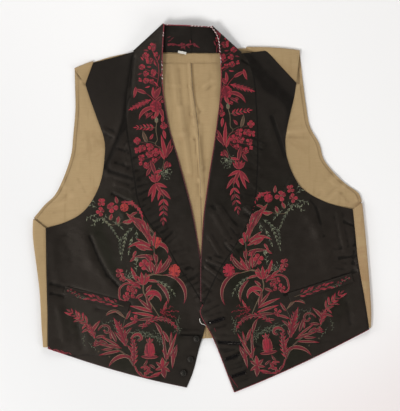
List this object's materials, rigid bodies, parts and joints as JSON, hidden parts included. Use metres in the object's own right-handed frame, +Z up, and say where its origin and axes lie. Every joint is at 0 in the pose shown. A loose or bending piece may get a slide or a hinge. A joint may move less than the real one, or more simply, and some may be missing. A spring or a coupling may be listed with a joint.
{
  "type": "silk waistcoat with shawl collar",
  "caption": "Sleeveless silk waistcoat with a shawl collar, sprigged fronts, piped edges and a plain cotton back, laid open on its back.",
  "frame": {"origin": "on the surface that the garment lies on, under the middle of its outline", "axes": "+X across the garment, to the right with its neck away from the viewer; +Y along the garment towards its neck; +Z up from the surface"},
  "size_m": [0.5079, 0.5544, 0.0201],
  "materials": {
    "black_silk": "figured silk with a soft sheen, brown-black with crimson and grey-green sprays",
    "tan_cotton": "plain-woven polished cotton, tan",
    "red_piping": "silk-covered cord, crimson, worn pale near the neck",
    "white_tape": "narrow cotton tape, matt"
  },
  "bodies": {
    "root": {"front_left": "black_silk", "front_right": "black_silk", "collar_left": "black_silk", "collar_right": "black_silk", "welt_left": "black_silk", "welt_right": "black_silk", "button_1": "black_silk", "button_2": "black_silk", "button_3": "black_silk", "buttonhole_1": "black_silk", "buttonhole_2": "black_silk", "buttonhole_3": "black_silk", "buttonhole_4": "black_silk", "back_left": "tan_cotton", "back_right": "tan_cotton", "neck_facing": "tan_cotton", "piping_collar_left": "red_piping", "piping_collar_right": "red_piping", "piping_front_left": "red_piping", "piping_front_right": "red_piping", "neck_tape": "white_tape"}
  },
  "joints": []
}
